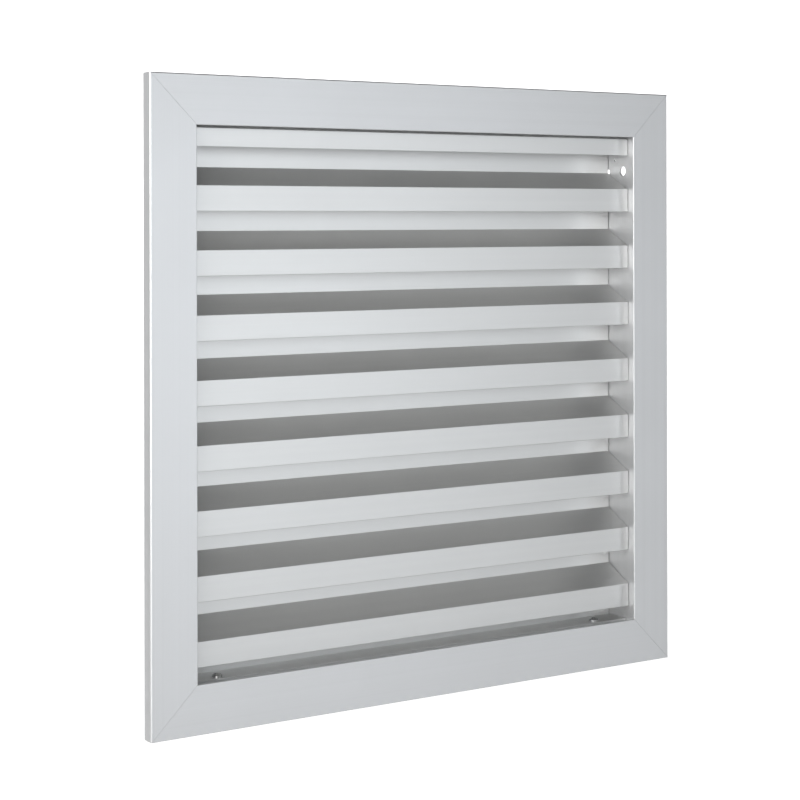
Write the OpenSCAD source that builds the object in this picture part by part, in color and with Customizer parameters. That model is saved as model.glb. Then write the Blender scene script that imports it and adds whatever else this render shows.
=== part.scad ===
// Fixed weather louvre (air grille) for an opening in an outside wall.
// +X is right and +Z is up as seen from outside. The front faces -Y.
// The plane Y = 0 is the wall's face, which the flange's return lip rests on.
// The origin is the middle of the opening in that plane. Millimetres.

/* [Overall] */
// Width over the flange
outer_w = 500; // [360:10:800]
// Height over the flange
outer_h = 500; // [440:10:640]

/* [Frame profile] */
// Width of the flange as seen from the front
flange_w = 38.5; // [31:0.5:46]
// Wall thickness of the frame profile
frame_t = 1.8; // [1.6:0.1:2]
// How far the flange stands off the wall: depth of its return lip
lip_d = 12; // [10:0.5:16]
// Width of the foot that turns in from the lip along the wall
lip_foot = 4; // [2:0.5:4]
// How far the flange's inner edge overhangs the box wall
nose = 3.5; // [2:0.5:5]
// Bevel along the outer front edge
edge_bevel = 0.8; // [0.3:0.1:1.2]
// Open joint line left at each mitre
mitre_line = 0.2; // [0.1:0.05:0.4]

/* [Corner cleats] */
// Width of a cleat's leg
cleat_w = 16; // [12:1:17]
// Length of a cleat's leg
cleat_leg = 62; // [45:1:90]
// Thickness of a cleat
cleat_t = 3; // [2:0.5:3.5]
// Distance from the flange's outer edge to the cleat
cleat_edge = 8; // [8:0.5:9]
// Wall and lip of the groove that holds a cleat
groove_t = 1.3; // [1:0.1:1.5]
// Diameter of the grub screws in the cleats
grub_d = 4; // [3:0.5:5]

/* [Blades] */
// Number of full blades
blade_count = 8; // [5:1:8]
// Wall thickness of the blade profiles
blade_t = 1.5; // [1.2:0.1:1.8]
// Distance of the blades' front faces behind the front of the flange
blade_recess = 12; // [10:0.5:14]
// Depth from a blade's front leg to its rear leg
blade_d = 27.5; // [22.5:0.5:33]
// Height of a blade's front leg
leg_h = 20; // [16:0.5:24]
// How far the web climbs from the front leg to the rear leg
web_rise = 14.5; // [12:0.5:17.5]
// How far a rear leg stands up behind the front leg above it
overlap_h = 10.5; // [6:0.5:14]
// Height of the top blade's front leg
top_leg_h = 14; // [9:0.5:18]
// Open line between the head and the top blade
top_gap = 1.5; // [1:0.25:3.5]
// Opening between the last blade and the sill's floor
bottom_gap = 13; // [9:0.5:18]
// Depth of the top blade's fixing flange under the head
top_flange_d = 14; // [11:1:16]
// Clearance between a blade's end and the jamb
end_gap = 0.5; // [0.3:0.1:1]

/* [Screws and rivets] */
// Bore of the screw ports along the blades
port_bore = 3.4; // [2.8:0.1:4.1]
// Wall of the screw ports
port_wall = 1.6; // [1.4:0.1:1.8]
// Length of the blade end screws
end_screw_l = 19; // [13:1:25]
// Head diameter of the blade end screws
end_head_d = 7; // [6:0.1:7.5]
// Diameter of the wall fixing holes in the jambs
fix_d = 8.5; // [5:0.5:10]
// Distance of the wall fixing holes behind the front of the flange
fix_depth = 19.5; // [19:0.5:24]
// Height of the wall fixing hole over the first blade's front edge
fix_up = 16; // [13:0.5:18]
// Diameter of the round hole beside the first blade's rear leg
rear_hole_d = 5.5; // [4:0.5:6.5]
// Height of that hole over the foot of the rear leg
rear_hole_up = 1; // [1:0.5:6]
// Diameter of the pilot hole behind and above each fixing hole
pilot_d = 2.6; // [2:0.1:3.2]
// Shank diameter of the rivets
rivet_d = 3.2; // [2.4:0.1:4]
// Distance of the sill screws from the jambs
sill_screw_in = 31; // [20:1:60]
// Distance of the sill screws behind the front of the flange
sill_screw_depth = 23; // [21:0.5:30]
// Shank diameter of the sill screws
sill_screw_d = 4.2; // [3.5:0.1:5]

/* [Rear guard] */
// Thickness of the mesh
mesh_t = 1.2; // [0.8:0.1:2]
// Gap between the blades and the mesh
mesh_gap = 0.75; // [0.3:0.05:2]
// Width of the strips that clamp the mesh
strip_w = 12; // [8:1:16]
// Depth of the strips along the frame
strip_d = 9; // [8:0.5:14]
// Thickness of the strips
strip_t = 1.5; // [1:0.1:2]
// How far the frame's box reaches back past the strips
box_margin = 3; // [0:0.5:20]

/* [Hidden] */
$fn = 40;
gap = 0.2;
hair = 0.05;
wall_in = flange_w - nose;
wall_out = wall_in - frame_t;
inner_w = outer_w - 2 * wall_in;
inner_h = outer_h - 2 * wall_in;
blade_w = inner_w - 2 * end_gap;
y_front = -lip_d;
y_blade = y_front + blade_recess;
y_rear = y_blade + blade_d;
y_mesh = y_rear + blade_t + mesh_gap;
y_strip = y_mesh + mesh_t + hair;
frame_d = y_strip + strip_d + box_margin - y_front;

// Heights along the blades: the pitch shares out what the two ends leave.
pitch = (outer_h - flange_w - top_gap - top_leg_h - bottom_gap - wall_in) / blade_count;
web_slope = web_rise / blade_d;
web_angle = atan(web_slope);
web_drop = blade_t / cos(web_angle);
rear_leg_h = pitch - leg_h - web_rise + overlap_h;
z_top_leg = outer_h / 2 - flange_w - top_gap;
z_first = z_top_leg - top_leg_h - (pitch - leg_h);
z_last = z_first - (blade_count - 1) * pitch;
z_floor = -inner_h / 2;
z_soffit = inner_h / 2;

// Screw ports: places from the blade's front top edge, in depth and height.
port_r = port_bore / 2 + port_wall;
port_bite = 0.4;
port_slot = 2;
front_port = [blade_t + port_r - port_bite, web_slope * port_r - web_drop - port_r + port_bite];
rear_port_back = blade_d - port_r;
rear_port = [
    rear_port_back,
    rear_port_back * web_slope - web_drop - (port_r - port_bite) / cos(web_angle)
];
screw_clear = 0.4;
end_shank_d = port_bore - 0.1;
end_hole_d = port_bore + 2 * screw_clear;
end_head_h = 2.4;

// Top blade: the web meets its flange under the head.
top_flange_z = z_soffit - gap - blade_t;
top_flange_up = top_flange_z - z_top_leg;
top_bend = (top_flange_up + blade_t) / web_slope;
top_port_up = 1;
top_port = [front_port[0], -top_leg_h + port_r + top_port_up];
rivet_head_d = 2 * rivet_d;
rivet_head_h = 1;
rivet_tail_d = 1.45 * rivet_d;
rivet_tail_h = 2;
mandrel_r = 0.5;
rivet_hole_d = rivet_d + 0.1;
head_rivet_y = y_blade + top_bend + top_flange_d / 2;
head_rivet_in = 60;

// Cleat grooves on the back of the flange.
groove_d = cleat_t + gap;
groove_hook = 1.8;
groove_in = cleat_edge - gap;
groove_out = cleat_edge + cleat_w + gap;
grub_places = [0.45, 0.8];
grub_l = 4.5;
hex_af = 2;

// Holes in the box wall of each jamb: all three stand in the first full gap.
y_fix = y_front + fix_depth;
z_fix = z_first + fix_up;
pilot_back = 11;
pilot_up = 10;
y_rear_hole = y_rear + blade_t / 2;
z_rear_hole = z_first + web_rise + rear_hole_up;

// Sill angle.
angle_behind_leg = 2;
angle_front = blade_recess + blade_t + angle_behind_leg;
angle_top = z_last - leg_h + overlap_h;
sill_head_d = 8;
sill_head_h = 2.4;
sill_screw_l = 12;
y_sill_screw = y_front + sill_screw_depth;

// Rear guard.
y_strip_rivet = y_strip + strip_t + (strip_d - strip_t) / 2;
side_strip_l = inner_h - 2 * gap;
cross_strip_l = inner_w - 2 * (strip_w + 2 * gap);
strip_rivet_places = [-0.4, 0, 0.4];

corner_signs = [[-1, 1], [1, 1], [-1, -1], [1, -1]];
corner_names = ["top_left", "top_right", "bottom_left", "bottom_right"];

function blade_z(i) = z_first - (i - 1) * pitch;

// Every end screw's place on a jamb, as [depth, height].
blade_ports = [for (i = [1:blade_count], p = [front_port, rear_port]) [y_blade + p[0], blade_z(i) + p[1]]];
end_places = concat([[y_blade + top_port[0], z_top_leg + top_port[1]]], blade_ports);

// ---- frame ----

// Turns a piece drawn for the left jamb onto another side.
// Its own X runs from the flange's outer edge inwards and Y from the front to the back.
module on_side(turn, reach) {
    rotate([0, turn, 0])
        translate([-reach, y_front, 0])
            children();
}

module frame_profile() {
    polygon([
        [edge_bevel, 0],
        [flange_w - edge_bevel / 2, 0],
        [flange_w, edge_bevel / 2],
        [flange_w, frame_t],
        [wall_in, frame_t],
        [wall_in, frame_d],
        [wall_out, frame_d],
        [wall_out, frame_t],
        [groove_out + groove_t, frame_t],
        [groove_out + groove_t, frame_t + groove_d + groove_t],
        [groove_out - groove_hook, frame_t + groove_d + groove_t],
        [groove_out - groove_hook, frame_t + groove_d],
        [groove_out, frame_t + groove_d],
        [groove_out, frame_t],
        [groove_in, frame_t],
        [groove_in, frame_t + groove_d],
        [groove_in + groove_hook, frame_t + groove_d],
        [groove_in + groove_hook, frame_t + groove_d + groove_t],
        [groove_in - groove_t, frame_t + groove_d + groove_t],
        [groove_in - groove_t, frame_t],
        [frame_t, frame_t],
        [frame_t, lip_d - frame_t],
        [lip_foot, lip_d - frame_t],
        [lip_foot, lip_d],
        [0, lip_d],
        [0, edge_bevel]
    ]);
}

// One side of the frame: the profile cut at 45 degrees at both ends.
module frame_side(length) {
    half = length / 2 - mitre_line / 2;
    intersection() {
        linear_extrude(height = length, center = true)
            frame_profile();
        translate([0, frame_d, 0])
            rotate([90, 0, 0])
                linear_extrude(height = frame_d)
                    polygon([
                        [0, half],
                        [flange_w, half - flange_w],
                        [flange_w, flange_w - half],
                        [0, -half]
                    ]);
    }
}

// Holes through a jamb's box wall, drawn for the left jamb.
module jamb_hole(y, z, d) {
    translate([wall_out - frame_t, y - y_front, z])
        rotate([0, 90, 0])
            cylinder(h = 3 * frame_t, d = d);
}

module jamb(side) {
    on_side(side < 0 ? 0 : 180, outer_w / 2)
        difference() {
            frame_side(outer_h);
            jamb_hole(y_fix, -side * z_fix, fix_d);
            jamb_hole(y_fix + pilot_back, -side * (z_fix + pilot_up), pilot_d);
            jamb_hole(y_rear_hole, -side * z_rear_hole, rear_hole_d);
            for (p = end_places)
                jamb_hole(p[0], -side * p[1], end_hole_d);
            for (s = strip_rivet_places)
                jamb_hole(y_strip_rivet, s * side_strip_l, rivet_hole_d);
        }
}

module frame_jamb_left() {
    color("gainsboro") jamb(-1);
}

module frame_jamb_right() {
    color("gainsboro") jamb(1);
}

// Upright hole through the head or the sill, whichever way z points.
module level_hole(x, y, z, d) {
    translate([x, y, z - 3 * frame_t])
        cylinder(h = 6 * frame_t, d = d);
}

module frame_head() {
    color("gainsboro")
        difference() {
            on_side(90, outer_h / 2) frame_side(outer_w);
            for (x = head_rivet_xs())
                level_hole(x, head_rivet_y, z_soffit, rivet_hole_d);
            for (s = strip_rivet_places)
                level_hole(s * cross_strip_l, y_strip_rivet, z_soffit, rivet_hole_d);
        }
}

module frame_sill() {
    color("gainsboro")
        difference() {
            on_side(-90, outer_h / 2) frame_side(outer_w);
            for (x = sill_screw_xs())
                level_hole(x, y_sill_screw, z_floor, sill_screw_d + gap);
            for (s = strip_rivet_places)
                level_hole(s * cross_strip_l, y_strip_rivet, z_floor, rivet_hole_d);
        }
}

function head_rivet_xs() = [-(inner_w / 2 - head_rivet_in), 0, inner_w / 2 - head_rivet_in];
function sill_screw_xs() = [-(inner_w / 2 - sill_screw_in), inner_w / 2 - sill_screw_in];

// ---- corner cleats ----

// Places of the grub screws from a corner's outer edges, along one leg.
function grub_along(s) = cleat_edge + cleat_w / 2 + s * (cleat_leg - cleat_w / 2);

module at_corner(signs) {
    y_cleat = y_front + frame_t + gap / 2;
    mirror([signs[0] > 0 ? 1 : 0, 0, 0])
        mirror([0, 0, signs[1] > 0 ? 1 : 0])
            translate([-outer_w / 2, y_cleat, -outer_h / 2])
                children();
}

// Draws its child at each grub screw of a bottom left corner.
module at_grubs() {
    middle = cleat_edge + cleat_w / 2;
    for (s = grub_places) {
        translate([grub_along(s), 0, middle]) rotate([-90, 0, 0]) children();
        translate([middle, 0, grub_along(s)]) rotate([-90, 0, 0]) children();
    }
}

module corner_cleat(signs) {
    far = cleat_edge + cleat_leg;
    near = cleat_edge + cleat_w;
    color("silver")
        at_corner(signs)
            difference() {
                translate([0, cleat_t, 0])
                    rotate([90, 0, 0])
                        linear_extrude(height = cleat_t)
                            polygon([
                                [cleat_edge, cleat_edge],
                                [far, cleat_edge],
                                [far, near],
                                [near, near],
                                [near, far],
                                [cleat_edge, far]
                            ]);
                at_grubs()
                    translate([0, 0, -cleat_t]) cylinder(h = 3 * cleat_t, d = grub_d);
            }
}

module cleat_screws() {
    color("dimgray")
        for (signs = corner_signs)
            at_corner(signs)
                at_grubs()
                    difference() {
                        cylinder(h = grub_l, d = grub_d - 2 * hair);
                        translate([0, 0, grub_l / 2])
                            cylinder(h = grub_l, d = hex_af / cos(30), $fn = 6);
                    }
}

// ---- blades ----

// Runs a profile drawn in depth and height along a blade, centred on X = 0.
module along_x(length) {
    translate([-length / 2, 0, 0])
        rotate([90, 0, 90])
            linear_extrude(height = length)
                children();
}

// A C-shaped screw port, open towards the given direction.
module port(place, opening) {
    translate(place)
        difference() {
            circle(r = port_r);
            circle(d = port_bore);
            rotate(opening)
                translate([0, -port_slot / 2])
                    square([2 * port_r, port_slot]);
        }
}

// Z section: front leg down, web up towards the back, rear leg up.
module blade_profile() {
    ease = 0.3;
    polygon([
        [ease, 0],
        [blade_d, web_rise],
        [blade_d, web_rise + rear_leg_h - ease],
        [blade_d + ease, web_rise + rear_leg_h],
        [blade_d + blade_t, web_rise + rear_leg_h],
        [blade_d + blade_t, web_rise - web_drop],
        [blade_d, web_rise - web_drop],
        [blade_t, blade_t * web_slope - web_drop],
        [blade_t, ease - leg_h],
        [blade_t - ease, -leg_h],
        [ease, -leg_h],
        [0, ease - leg_h],
        [0, -ease]
    ]);
}

module blade(i) {
    color("silver")
        translate([0, y_blade, blade_z(i)])
            union() {
                along_x(blade_w) blade_profile();
                along_x(blade_w) port(front_port, 0);
                along_x(blade_w) port(rear_port, -90);
            }
}

// Short section: front leg, web and a flange under the head.
module top_blade_profile() {
    back = top_bend + top_flange_d;
    polygon([
        [0, 0],
        [top_bend, top_flange_up + blade_t],
        [back, top_flange_up + blade_t],
        [back, top_flange_up],
        [(top_flange_up + web_drop) / web_slope, top_flange_up],
        [blade_t, blade_t * web_slope - web_drop],
        [blade_t, -top_leg_h],
        [0, -top_leg_h]
    ]);
}

module top_blade() {
    color("silver")
        difference() {
            translate([0, y_blade, z_top_leg])
                union() {
                    along_x(blade_w) top_blade_profile();
                    along_x(blade_w) port(top_port, 0);
                }
            for (x = head_rivet_xs())
                level_hole(x, head_rivet_y, z_soffit, rivet_hole_d);
        }
}

// ---- sill angle and its screws ----

module sill_upstand() {
    y_foot = y_front + angle_front;
    z_foot = z_floor + hair;
    color("silver")
        difference() {
            along_x(blade_w)
                polygon([
                    [y_foot, z_foot],
                    [y_rear + blade_t, z_foot],
                    [y_rear + blade_t, angle_top],
                    [y_rear, angle_top],
                    [y_rear, z_foot + blade_t],
                    [y_foot, z_foot + blade_t]
                ]);
            for (x = sill_screw_xs())
                level_hole(x, y_sill_screw, z_floor, sill_screw_d + gap);
        }
}

// A cross-recessed pan head on a shank. The shank runs down from Z = 0.
module pan_screw(head_d, head_h, shank_d, length) {
    slot_w = head_d * 0.14;
    slot_l = head_d * 0.55;
    difference() {
        union() {
            translate([0, 0, -length])
                cylinder(h = length + hair, d = shank_d);
            rotate_extrude()
                polygon([
                    [0, 0],
                    [head_d / 2, 0],
                    [head_d / 2, head_h * 0.45],
                    [head_d * 0.42, head_h * 0.8],
                    [head_d * 0.28, head_h],
                    [0, head_h]
                ]);
        }
        for (turn = [0, 90])
            rotate(turn)
                translate([-slot_l / 2, -slot_w / 2, head_h * 0.4])
                    cube([slot_l, slot_w, head_h]);
    }
}

module sill_screws() {
    color("lightgray")
        for (x = sill_screw_xs())
            translate([x, y_sill_screw, z_floor + blade_t + 2 * hair])
                pan_screw(sill_head_d, sill_head_h, sill_screw_d, sill_screw_l);
}

// ---- blade end screws ----

module end_screws(side) {
    x_head = side * (inner_w / 2 + frame_t + hair);
    color("lightgray")
        for (p = end_places)
            translate([x_head, p[0], p[1]])
                rotate([0, side * 90, 0])
                    pan_screw(end_head_d, end_head_h, end_shank_d, end_screw_l);
}

module end_screws_left() {
    end_screws(-1);
}

module end_screws_right() {
    end_screws(1);
}

// ---- rivets ----

// A set blind rivet: its head at Z = 0 and its tail above the stack it holds.
module rivet(grip) {
    rotate_extrude()
        polygon([
            [mandrel_r, -rivet_head_h],
            [rivet_head_d * 0.35, -rivet_head_h],
            [rivet_head_d / 2, 0],
            [rivet_d / 2, 0],
            [rivet_d / 2, grip],
            [rivet_tail_d / 2, grip + rivet_tail_h * 0.35],
            [rivet_tail_d * 0.4, grip + rivet_tail_h],
            [0, grip + rivet_tail_h],
            [0, grip],
            [mandrel_r, grip]
        ]);
}

module head_rivets() {
    grip = blade_t + gap + frame_t + 2 * hair;
    color("lightgray")
        for (x = head_rivet_xs())
            translate([x, head_rivet_y, top_flange_z - hair])
                rivet(grip);
}

module mesh_rivets() {
    grip = strip_t + hair + frame_t + 2 * hair;
    head_in = strip_t + 2 * hair;
    color("lightgray") {
        for (s = strip_rivet_places) {
            for (up = [-1, 1])
                translate([s * cross_strip_l, y_strip_rivet, up * (inner_h / 2 - head_in)])
                    rotate([up > 0 ? 0 : 180, 0, 0])
                        rivet(grip);
            for (side = [-1, 1])
                translate([side * (inner_w / 2 - head_in), y_strip_rivet, s * side_strip_l])
                    rotate([0, side * 90, 0])
                        rivet(grip);
        }
    }
}

// ---- rear guard ----

module mesh_panel() {
    color("gray")
        translate([gap - inner_w / 2, y_mesh, gap - inner_h / 2])
            cube([inner_w - 2 * gap, mesh_t, inner_h - 2 * gap]);
}

// An angle drawn for the left side: one leg on the mesh, one along the box wall.
module strip_angle(length) {
    linear_extrude(height = length, center = true)
        polygon([
            [hair, 0],
            [strip_w, 0],
            [strip_w, strip_t],
            [hair + strip_t, strip_t],
            [hair + strip_t, strip_d],
            [hair, strip_d]
        ]);
}

module strip_hole(along) {
    translate([-strip_t, y_strip_rivet - y_strip, along])
        rotate([0, 90, 0])
            cylinder(h = 4 * strip_t, d = rivet_hole_d);
}

module mesh_strip(turn, reach, length) {
    color("silver")
        rotate([0, turn, 0])
            translate([-reach, y_strip, 0])
                difference() {
                    strip_angle(length);
                    for (s = strip_rivet_places)
                        strip_hole(s * length);
                }
}

frame_head();
frame_sill();
frame_jamb_left();
frame_jamb_right();
for (c = [0:3])
    corner_cleat(corner_signs[c]);
cleat_screws();
top_blade();
for (i = [1:blade_count])
    blade(i);
sill_upstand();
sill_screws();
head_rivets();
end_screws_left();
end_screws_right();
mesh_panel();
mesh_strip(90, inner_h / 2, cross_strip_l);  // mesh_strip_top
mesh_strip(-90, inner_h / 2, cross_strip_l);  // mesh_strip_bottom
mesh_strip(0, inner_w / 2, side_strip_l);  // mesh_strip_left
mesh_strip(180, inner_w / 2, side_strip_l);  // mesh_strip_right
mesh_rivets();
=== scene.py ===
# %% [markdown]
# # A fixed weather louvre in anodised aluminium
#
# The object is an outside wall grille: a mitred flange frame, a stack of Z-shaped blades and a
# wire guard at the back. A CAD model already fixes every size. This lesson gives each profile its
# finish, weaves the guard from separate wires, and lights the grille like an object in a studio.

# %% Load the fixed frame
import math

import bpy
import numpy as np
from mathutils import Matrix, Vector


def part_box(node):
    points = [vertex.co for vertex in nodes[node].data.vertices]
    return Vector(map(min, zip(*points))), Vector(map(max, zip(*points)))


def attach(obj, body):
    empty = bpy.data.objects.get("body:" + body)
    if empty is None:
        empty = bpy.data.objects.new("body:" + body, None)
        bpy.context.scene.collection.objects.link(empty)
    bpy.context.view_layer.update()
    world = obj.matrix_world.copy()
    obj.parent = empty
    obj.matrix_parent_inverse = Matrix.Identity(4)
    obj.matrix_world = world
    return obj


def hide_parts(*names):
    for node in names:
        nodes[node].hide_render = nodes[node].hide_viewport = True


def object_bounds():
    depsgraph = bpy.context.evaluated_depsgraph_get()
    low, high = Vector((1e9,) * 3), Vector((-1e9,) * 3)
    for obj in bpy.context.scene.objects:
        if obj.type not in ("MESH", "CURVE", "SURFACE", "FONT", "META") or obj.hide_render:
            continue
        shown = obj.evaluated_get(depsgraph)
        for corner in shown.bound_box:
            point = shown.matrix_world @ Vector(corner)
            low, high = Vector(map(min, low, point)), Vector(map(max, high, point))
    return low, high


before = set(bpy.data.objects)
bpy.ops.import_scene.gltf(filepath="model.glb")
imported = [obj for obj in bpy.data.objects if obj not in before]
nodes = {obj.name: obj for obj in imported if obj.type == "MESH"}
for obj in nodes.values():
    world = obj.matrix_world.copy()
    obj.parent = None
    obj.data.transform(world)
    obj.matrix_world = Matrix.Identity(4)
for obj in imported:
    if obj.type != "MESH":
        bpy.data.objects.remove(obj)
cad_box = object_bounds()
print("CAD nodes:", len(nodes))

# %% [markdown]
# ## The sizes everything else follows
#
# Nothing here is typed in twice. The outer box gives the camera its unit, and the guard's box says
# where the woven wires may lie.

# %% Sizes from the CAD boxes
low, high = (np.array(corner) for corner in cad_box)
mesh_low, mesh_high = (np.array(corner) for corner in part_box("mesh_panel"))
outer_h = high[2] - low[2]
y_front = low[1]
print("outer size", (high - low).round(4))

# %% [markdown]
# ## Camera
#
# The grille is seen from its left and a little under its top edge. The camera is level, so the
# jambs stay upright, and the lens is shifted down instead of tilting the camera, which keeps
# verticals parallel. Places are in heights of the grille, measured from its outer left edge, its
# front face and its top edge.

# %% Camera
CAMERA_LEFT = 1.1404
CAMERA_FRONT = 2.5116
CAMERA_DROP = 0.2230
CAMERA_TURN = 0.5613
CAMERA_ROLL = 0.0020
LENS_MM = 82.71
SENSOR_MM = 36
FAR_LIMIT = 50
LENS_SHIFT = -0.2239

camera_data = bpy.data.cameras.new("studio_camera")
camera_data.sensor_width = SENSOR_MM
camera_data.lens = LENS_MM
camera_data.shift_y = LENS_SHIFT
camera_data.clip_end = FAR_LIMIT
camera = bpy.data.objects.new("studio_camera", camera_data)
camera.location = (
    low[0] - CAMERA_LEFT * outer_h,
    y_front - CAMERA_FRONT * outer_h,
    high[2] - CAMERA_DROP * outer_h,
)
camera.rotation_euler = (math.pi / 2, CAMERA_ROLL, -CAMERA_TURN)
bpy.context.scene.collection.objects.link(camera)
bpy.context.scene.camera = camera
bpy.context.scene.view_settings.view_transform = "Standard"
print("camera at", [round(v, 3) for v in camera.location])

# %% [markdown]
# ## Studio
#
# Satin aluminium has hardly a colour of its own: it shows the lights. The flat faces mirror what
# stands to the right in front, so a soft sheet there ends early, and the faces fade from left to
# right. A key from the left reaches in between the blades and brightens the walls that look
# left. Overhead stays dim, so the sloping webs, which look up, turn dark. The grille hangs well
# above its paper floor, as it would on a wall, so the floor leaves no bright band in its foot.

# %% Stage and lights
FLOOR_HALF = 6.0
BACKDROP_Y = 4.5
BACKDROP_HEIGHT = 6
HANGS_ABOVE_FLOOR = 0.35
COOL_WHITE = (0.90, 0.95, 1.0)
PLAIN_WHITE = (1, 1, 1)
SHEET_WATTS = 14.5
KEY_WATTS = 80


def flat_sheet(name, corners):
    """A single quad through four corner points, given anticlockwise as seen from its lit side."""
    mesh = bpy.data.meshes.new(name)
    mesh.from_pydata([tuple(c) for c in corners], [], [(0, 1, 2, 3)])
    sheet = bpy.data.objects.new(name, mesh)
    bpy.context.scene.collection.objects.link(sheet)
    return sheet


def aim_at_grille(lamp):
    """Turns a lamp so that it looks at the origin, the middle of the grille's opening."""
    line = -np.array(lamp.location)
    flat = math.hypot(line[0], line[1])
    lamp.rotation_euler = (math.atan2(flat, -line[2]), 0, math.atan2(-line[0], line[1]))


def soft_box(name, place, size, watts, colour):
    """A rectangular area light aimed at the grille."""
    data = bpy.data.lights.new(name, "AREA")
    data.shape = "RECTANGLE"
    data.size, data.size_y = size
    data.energy = watts
    data.color = colour
    box = bpy.data.objects.new(name, data)
    box.location = place
    aim_at_grille(box)
    bpy.context.scene.collection.objects.link(box)


floor_z = low[2] - HANGS_ABOVE_FLOOR
backdrop_top = floor_z + BACKDROP_HEIGHT
floor = flat_sheet("floor", [
    (-FLOOR_HALF, -FLOOR_HALF, floor_z), (FLOOR_HALF, -FLOOR_HALF, floor_z),
    (FLOOR_HALF, BACKDROP_Y, floor_z), (-FLOOR_HALF, BACKDROP_Y, floor_z),
])
backdrop = flat_sheet("backdrop", [
    (-FLOOR_HALF, BACKDROP_Y, floor_z), (FLOOR_HALF, BACKDROP_Y, floor_z),
    (FLOOR_HALF, BACKDROP_Y, backdrop_top), (-FLOOR_HALF, BACKDROP_Y, backdrop_top),
])
soft_box("mirrored_sheet", (0.90, -2.7, 0.12), (1.8, 1.7), SHEET_WATTS, COOL_WHITE)
soft_box("left_key", (-2.8, -1.5, 0.75), (3.4, 1.7), KEY_WATTS, PLAIN_WHITE)
print("stage and lights ready")

# %% [markdown]
# ## Shader maths as expressions
#
# A material is arithmetic on positions. `Value` wraps one number socket, so `1 - mask * 0.3`
# adds the Math nodes by itself, and `Recipe.node` adds any other node with its settings first.

# %% A small language for materials


class Value:
    """One number socket, with the usual operators."""

    def __init__(self, recipe, socket):
        self.recipe, self.socket = recipe, socket

    def _math(self, operation, a, b):
        return self.recipe.node("ShaderNodeMath", {"operation": operation}, {0: a, 1: b})["Value"]

    def __add__(self, other):
        return self._math("ADD", self, other)

    def __radd__(self, other):
        return self._math("ADD", other, self)

    def __sub__(self, other):
        return self._math("SUBTRACT", self, other)

    def __rsub__(self, other):
        return self._math("SUBTRACT", other, self)

    def __mul__(self, other):
        return self._math("MULTIPLY", self, other)

    def __rmul__(self, other):
        return self._math("MULTIPLY", other, self)

    def ramp(self, start, end):
        """Runs smoothly from 0 to 1 while this value goes from start to end."""
        return self.recipe.node(
            "ShaderNodeMapRange", {"interpolation_type": "SMOOTHSTEP"},
            {"Value": self, "From Min": start, "From Max": end},
        )["Result"]


class Recipe:
    """A material or a world under construction: its node tree and the shader that it feeds."""

    def __init__(self, owner, shader, coordinates="Object"):
        owner.use_nodes = True
        self.owner, self.tree = owner, owner.node_tree
        self.shader = self.tree.nodes[shader]
        place = self.node("ShaderNodeTexCoord")[coordinates]
        parts = self.node("ShaderNodeSeparateXYZ", values={"Vector": place})
        self.place, self.x, self.y, self.z = place, parts["X"], parts["Y"], parts["Z"]

    @classmethod
    def finish(cls, name):
        """Starts a surface finish, a material with a Principled shader."""
        return cls(bpy.data.materials.new(name), "Principled BSDF")

    def node(self, kind, settings=None, values=None):
        """Adds a node, sets its settings, then fills its sockets. Returns its outputs by name."""
        made = self.tree.nodes.new(kind)
        for key, value in (settings or {}).items():
            setattr(made, key, value)
        for key, value in (values or {}).items():
            self._fill(made.inputs[key], value)
        return {output.name: Value(self, output) for output in made.outputs if output.enabled}

    def _fill(self, socket, value):
        if isinstance(value, Value):
            self.tree.links.new(value.socket, socket)
        else:
            socket.default_value = value

    def set(self, **values):
        """Fills the shader's sockets: base_color becomes Base Color."""
        for key, value in values.items():
            self._fill(self.shader.inputs[key.replace("_", " ").title()], value)
        return self.owner

    def vector(self, x, y, z):
        return self.node("ShaderNodeCombineXYZ", values={"X": x, "Y": y, "Z": z})["Vector"]

    def noise(self, place, scale=1.0, detail=2.0):
        values = {"Vector": place, "Scale": scale, "Detail": detail}
        return self.node("ShaderNodeTexNoise", values=values)["Fac"]

    def blend(self, factor, first, second):
        """Mixes two colours by a factor."""
        made = self.tree.nodes.new("ShaderNodeMix")
        made.data_type = "RGBA"
        self._fill(made.inputs[0], factor)
        for index, colour in ((6, first), (7, second)):
            self._fill(made.inputs[index], (*colour, 1))
        return Value(self, made.outputs[2])

    def bump(self, height, distance, strength):
        values = {"Height": height, "Distance": distance, "Strength": strength}
        return self.node("ShaderNodeBump", values=values)["Normal"]


print("shader language ready")

# %% [markdown]
# ## Anodised profiles
#
# An aluminium profile is pressed through a die, which leaves hair lines along its whole length.
# Anodising then turns the surface satin. So the pattern is a noise stretched hundreds of times
# along the profile: fine lines for the bump, wider bands for the tone, and a slow cloud for handling.

# %% Finish of the frame and the blades
HAIR_LINES = 2600
HAIR_RUN = 1.5
BAND_LINES = 160
BAND_RUN = 0.4
HANDLING_CLOUDS = 9
ANODISED_GRAIN = 2200
DIE_LINE_DEPTH = 0.00002


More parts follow.
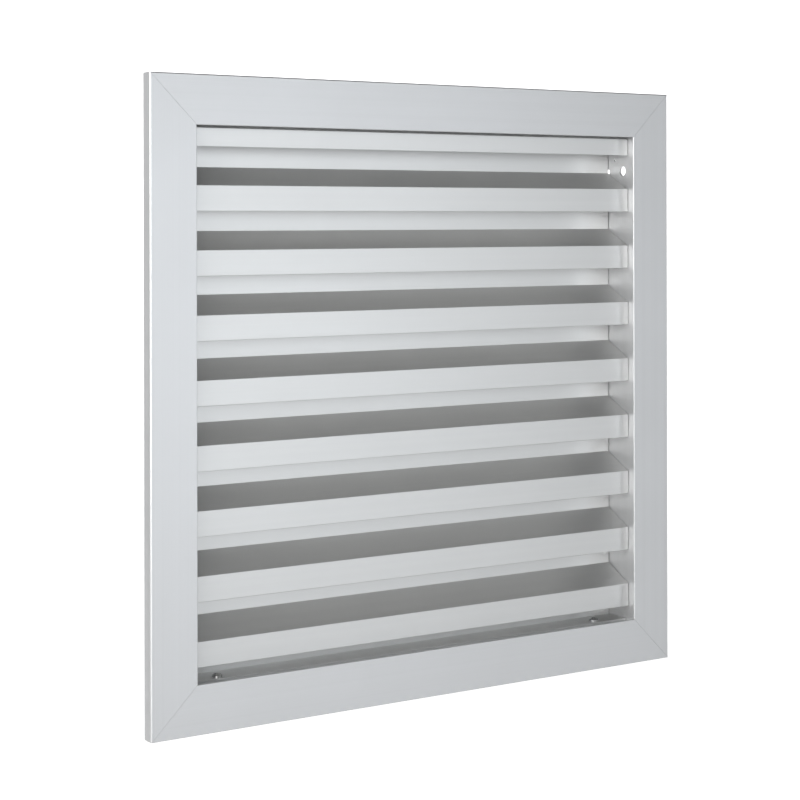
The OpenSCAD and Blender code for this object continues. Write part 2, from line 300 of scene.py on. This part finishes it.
def anodised(name, along, light, dark, roughness):
    """Satin anodised aluminium whose die lines run along one axis.

    Lines = noise of (place across the profile, very fast; place along it, very slow)."""
    r = Recipe.finish(name)
    axis = {"x": r.x, "z": r.z}[along]
    across = {"x": r.z, "z": r.x}[along]
    hair = r.noise(r.vector(axis * HAIR_RUN, across * HAIR_LINES, r.y * HAIR_LINES), detail=3)
    band = r.noise(r.vector(axis * BAND_RUN, across * BAND_LINES, r.y * BAND_LINES), detail=1)
    cloud = r.noise(r.place, HANDLING_CLOUDS, detail=3)
    grain = r.noise(r.place, ANODISED_GRAIN, detail=1)
    tone = (band * 0.35 + hair * 0.30 + cloud * 0.35).ramp(0.2, 0.8)
    satin = roughness + (band - 0.5) * 0.06 + (cloud - 0.5) * 0.08 + (hair - 0.5) * 0.06
    relief = hair * 0.7 + grain * 0.3
    return r.set(base_color=r.blend(tone, dark, light), metallic=METAL_SHARE, roughness=satin,
                 normal=r.bump(relief, DIE_LINE_DEPTH, 0.6))


METAL_SHARE = 0.8
LIGHT_TONE = (0.80, 0.806, 0.815)
DARK_TONE = (0.74, 0.745, 0.75)
BLADE_LIGHT_TONE = (0.79, 0.792, 0.785)
BLADE_DARK_TONE = (0.74, 0.742, 0.735)
FRAME_ROUGHNESS = 0.46
BLADE_ROUGHNESS = 0.42
frame_level = anodised("anodised_frame_level", "x", LIGHT_TONE, DARK_TONE, FRAME_ROUGHNESS)
frame_upright = anodised("anodised_frame_upright", "z", LIGHT_TONE, DARK_TONE, FRAME_ROUGHNESS)
blade_satin = anodised("anodised_blade", "x", BLADE_LIGHT_TONE, BLADE_DARK_TONE, BLADE_ROUGHNESS)
print("anodised finishes ready")

# %% [markdown]
# ## Small parts
#
# Cleats and clamping strips are out of sight from the front, so they stay as they left the mill:
# greyer and mottled. Rivets are bare aluminium. The screws are plated steel, whose grey changes a
# little in patches, and the small screws that lock the cleats are blackened.

# %% Finishes of the small parts
MILL_DARK = (0.55, 0.555, 0.565)
MILL_LIGHT = (0.70, 0.70, 0.705)
MILL_GRAIN_DEPTH = 0.00002
PLATE_GRAIN_DEPTH = 0.00001


def mill_aluminium(name):
    """Untreated aluminium: dull, with soft mottling under a fine grain."""
    r = Recipe.finish(name)
    mottle = r.noise(r.place, 60, detail=4)
    grain = r.noise(r.place, 1500, detail=2)
    return r.set(base_color=r.blend(mottle.ramp(0.3, 0.7), MILL_DARK, MILL_LIGHT), metallic=1.0,
                 roughness=0.42 + mottle * 0.2, normal=r.bump(grain, MILL_GRAIN_DEPTH, 0.5))


def plated(name, light, dark, roughness):
    """Plated metal: two tints in soft patches under a fine grain."""
    r = Recipe.finish(name)
    patch = r.noise(r.place, 220, detail=2)
    grain = r.noise(r.place, 3000, detail=1)
    return r.set(base_color=r.blend(patch.ramp(0.35, 0.65), dark, light), metallic=1.0,
                 roughness=roughness + patch * 0.12, normal=r.bump(grain, PLATE_GRAIN_DEPTH, 0.4))


mill_satin = mill_aluminium("mill_aluminium")
zinc = plated("zinc_plate", (0.68, 0.68, 0.67), (0.55, 0.56, 0.58), 0.20)
rivet_metal = plated("rivet_aluminium", (0.85, 0.85, 0.86), (0.72, 0.72, 0.73), 0.3)
wire_steel = plated("drawn_wire", (0.62, 0.62, 0.62), (0.42, 0.42, 0.43), 0.3)
grub_steel = plated("blackened_steel", (0.16, 0.16, 0.17), (0.08, 0.08, 0.09), 0.35)

FINISHES = {
    "frame_head": frame_level, "frame_sill": frame_level,
    "frame_jamb": frame_upright,
    "blade": blade_satin, "top_blade": blade_satin, "sill_upstand": blade_satin,
    "corner_cleat": mill_satin, "mesh_strip": mill_satin,
    "cleat_screws": grub_steel, "end_screws": zinc, "sill_screws": zinc,
    "head_rivets": rivet_metal, "mesh_rivets": rivet_metal, "mesh_panel": wire_steel,
}


def finish_of(node_name):
    """The finish whose name the node's own name starts with."""
    return next(finish for start, finish in FINISHES.items() if node_name.startswith(start))


for node_name, node in nodes.items():
    node.data.materials.clear()
    node.data.materials.append(finish_of(node_name))
print("finishes given to", len(nodes), "nodes")

# %% [markdown]
# ## The woven guard
#
# A wire guard is a plain weave: every wire goes over one crossing wire and under the next. Its
# height is a cosine with one half wave for each crossing, and neighbouring wires are half a wave
# out of step. All wires of one direction are worked out as a single array.

# %% Woven wires
WIRE_PITCH = 0.0068
RINGS_PER_CROSSING = 4
WIRE_SIDES = 6
EDGE_MARGIN = 0.001


def woven_wires(name, along_axis, over_first):
    """All the guard's wires that run along one axis.

    A wire's centre is at (t along, its own place across, middle + swing * cos(pi * crossings
    passed + half a wave for each neighbour)), and a circle of points is set round it."""
    across_axis = 2 - along_axis
    middle_y = (mesh_low[1] + mesh_high[1]) / 2
    radius = (mesh_high[1] - mesh_low[1]) / 4
    start, stop = mesh_low[along_axis] + EDGE_MARGIN, mesh_high[along_axis] - EDGE_MARGIN
    across_start = mesh_low[across_axis] + EDGE_MARGIN
    across_stop = mesh_high[across_axis] - EDGE_MARGIN
    wires = int((across_stop - across_start) // WIRE_PITCH)
    first = (across_start + across_stop - (wires - 1) * WIRE_PITCH) / 2
    rings = wires * RINGS_PER_CROSSING + 1
    t = np.linspace(start, stop, rings)[None, :, None]
    wire = np.arange(wires)[:, None, None]
    angle = np.linspace(0, 2 * math.pi, WIRE_SIDES, endpoint=False)[None, None, :]
    passed = (t - first) / WIRE_PITCH
    swing = radius * np.cos(math.pi * (passed + wire + over_first))
    points = np.empty((wires, rings, WIRE_SIDES, 3))
    points[..., along_axis] = t
    points[..., across_axis] = first + wire * WIRE_PITCH + radius * np.cos(angle)
    points[..., 1] = middle_y + swing + radius * np.sin(angle)

    index = np.arange(wires * rings * WIRE_SIDES).reshape(wires, rings, WIRE_SIDES)
    here, ahead = index[:, :-1], index[:, 1:]
    turn = -1 if along_axis == 0 else 1
    quads = np.stack([here, np.roll(here, -turn, 2), np.roll(ahead, -turn, 2), ahead], axis=-1)
    start_caps = index[:, 0, :: turn]
    end_caps = index[:, -1, :: -turn]
    faces = [tuple(q) for q in quads.reshape(-1, 4).tolist()]
    faces += [tuple(c) for c in start_caps.tolist()] + [tuple(c) for c in end_caps.tolist()]
    mesh = bpy.data.meshes.new(name)
    mesh.from_pydata(points.reshape(-1, 3).tolist(), [], faces)
    mesh.polygons.foreach_set("use_smooth", np.ones(len(mesh.polygons), bool))
    mesh.materials.append(wire_steel)
    piece = bpy.data.objects.new(name, mesh)
    bpy.context.scene.collection.objects.link(piece)
    print(name, wires, "wires,", len(faces), "faces")
    return piece


for piece in (woven_wires("guard_wires_level", 0, 0), woven_wires("guard_wires_upright", 2, 1)):
    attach(piece, "root")
    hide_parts("mesh_panel")

# %% [markdown]
# ## Finish of the stage
#
# The floor and the backdrop are pale paper. A little light of their own keeps them white without
# burning out the aluminium. The air of the room is a dim light from all sides but above.

# %% Paper


SHADE_STARTS = 0.45
SHADE_ENDS = -0.2
SIDE_SHADE_STARTS = 0.3
SIDE_SHADE_ENDS = -0.9
SHADE_GLOW = 0.2
FLOOR_GLOW = 0.9
BACKDROP_GLOW = 1.0
PAPER_DARK = (0.80, 0.80, 0.80)
PAPER_LIGHT = (0.84, 0.84, 0.84)
FULL_GLOW = (1, 1, 1)


def paper(name, glow):
    """Matt white paper with a faint tooth, which glows most behind the grille and to its right.

    Glow = a smooth step of depth times a smooth step of width, over a low even glow."""
    r = Recipe.finish(name)
    tooth = r.noise(r.place, 300, detail=2)
    lit = r.y.ramp(SHADE_ENDS, SHADE_STARTS) * r.x.ramp(SIDE_SHADE_ENDS, SIDE_SHADE_STARTS)
    return r.set(base_color=r.blend(tooth, PAPER_DARK, PAPER_LIGHT), roughness=0.9,
                 emission_color=r.blend(lit, (SHADE_GLOW,) * 3, FULL_GLOW), emission_strength=glow)


floor.data.materials.append(paper("floor_paper", FLOOR_GLOW))
backdrop.data.materials.append(paper("backdrop_paper", BACKDROP_GLOW))

CEILING_STARTS = 0.12
CEILING_ENDS = 0.55
WALL_GLOW = 0.34
CEILING_GLOW = 0.01


def studio_air(name):
    """A room with pale walls and a dark ceiling: a smooth step of how far a direction looks up."""
    r = Recipe(bpy.data.worlds.new(name), "Background", "Generated")
    up = r.z.ramp(CEILING_STARTS, CEILING_ENDS)
    return r.set(color=r.blend(up, (WALL_GLOW,) * 3, (CEILING_GLOW,) * 3))


bpy.context.scene.world = studio_air("studio_air")
print("paper and air ready")
